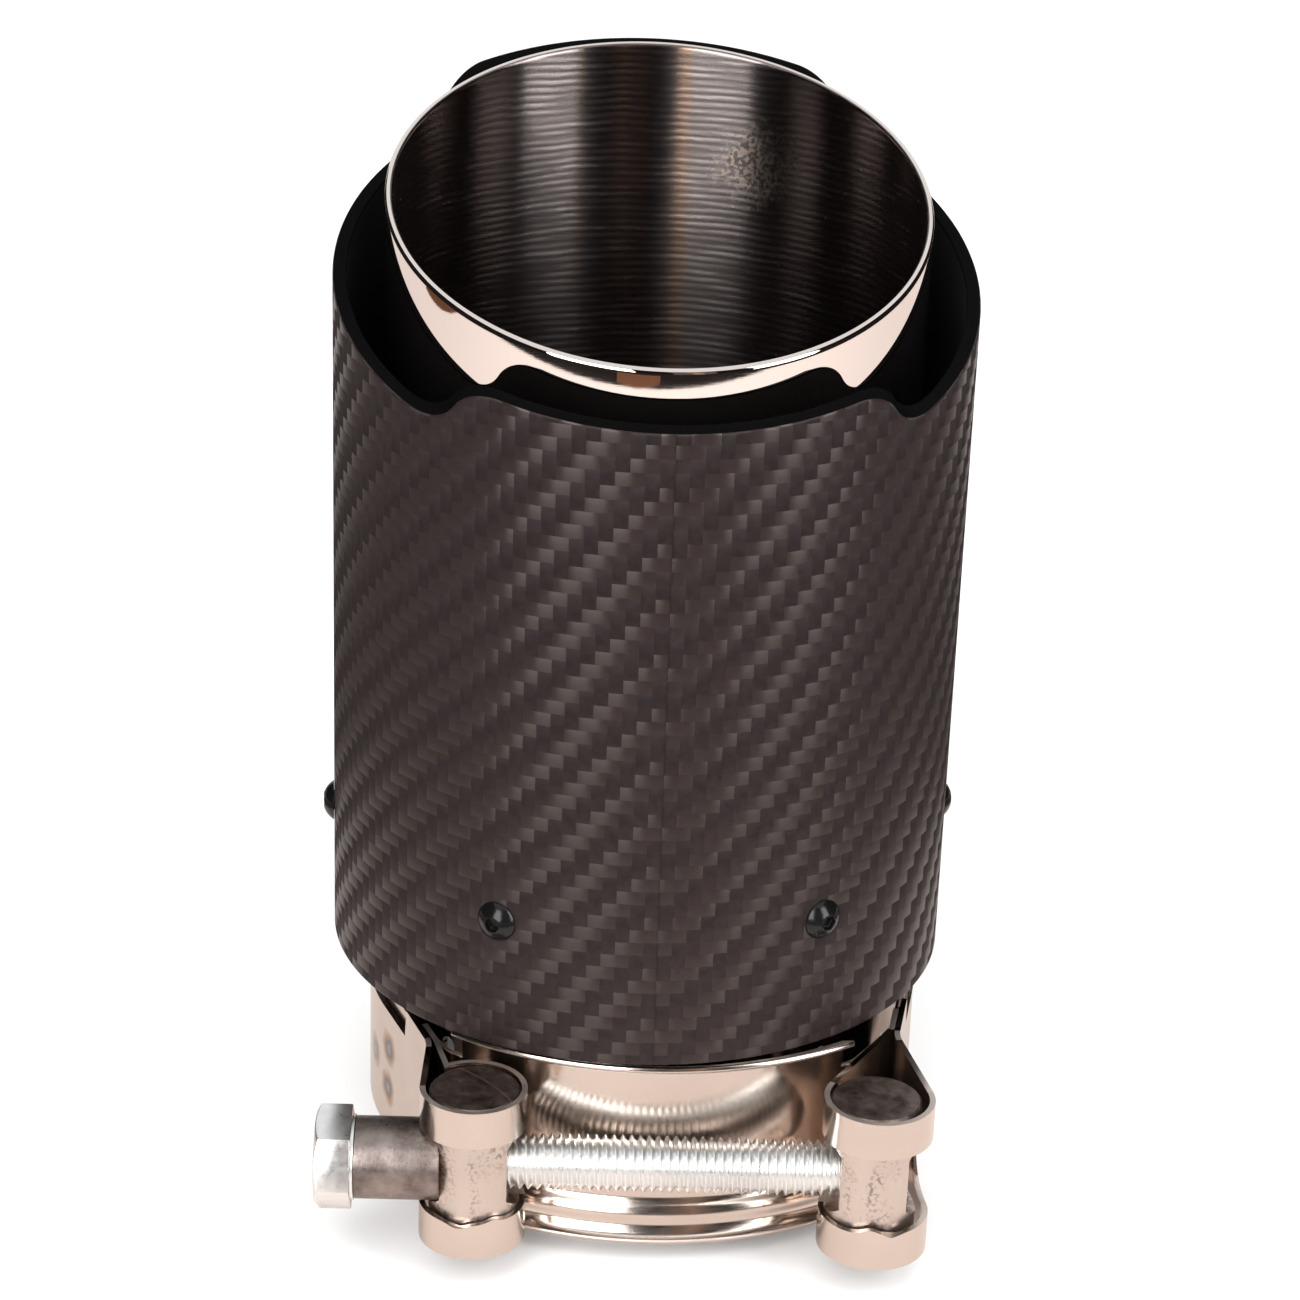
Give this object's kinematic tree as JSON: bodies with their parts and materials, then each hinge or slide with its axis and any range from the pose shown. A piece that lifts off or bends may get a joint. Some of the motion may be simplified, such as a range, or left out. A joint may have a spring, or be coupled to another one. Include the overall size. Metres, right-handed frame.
{
  "type": "exhaust tip",
  "caption": "Slash-cut exhaust tip: a carbon fibre sleeve screwed round a polished steel tube, with a bolt clamp on its slotted inlet.",
  "frame": {"origin": "centre of the tube's inlet end, in the plane of that end", "axes": "+Z along the tube's axis from the inlet to the outlet; the low side of the slanted mouth faces -Y; the clamp's bolt lies in front, along X"},
  "size_m": [0.0949, 0.1013, 0.1586],
  "materials": {
    "carbon_fibre": "matte clear coat over black twill carbon fibre",
    "polished_steel": "mirror polished stainless steel",
    "black_steel": "satin black",
    "black_screw": "glossy black oxide",
    "nut_steel": "plain steel",
    "band_steel": "bright rolled stainless steel strip",
    "trunnion_steel": "dull turned stainless steel with dark ground ends",
    "zinc_steel": "bright zinc plate"
  },
  "bodies": {
    "root": {"carbon_sleeve": "carbon_fibre", "inner_tube": "polished_steel", "mounting_ring": "black_steel", "screw_1": "black_screw", "screw_2": "black_screw", "screw_3": "black_screw", "screw_4": "black_screw", "screw_5": "black_screw", "screw_6": "black_screw", "weld_nut_1": "nut_steel", "weld_nut_2": "nut_steel", "weld_nut_3": "nut_steel", "weld_nut_4": "nut_steel", "weld_nut_5": "nut_steel", "weld_nut_6": "nut_steel", "clamp_band": "band_steel", "clamp_bridge": "band_steel", "plain_trunnion": "trunnion_steel", "threaded_trunnion": "trunnion_steel", "clamp_bolt": "zinc_steel", "bolt_spacer": "trunnion_steel"}
  },
  "joints": []
}
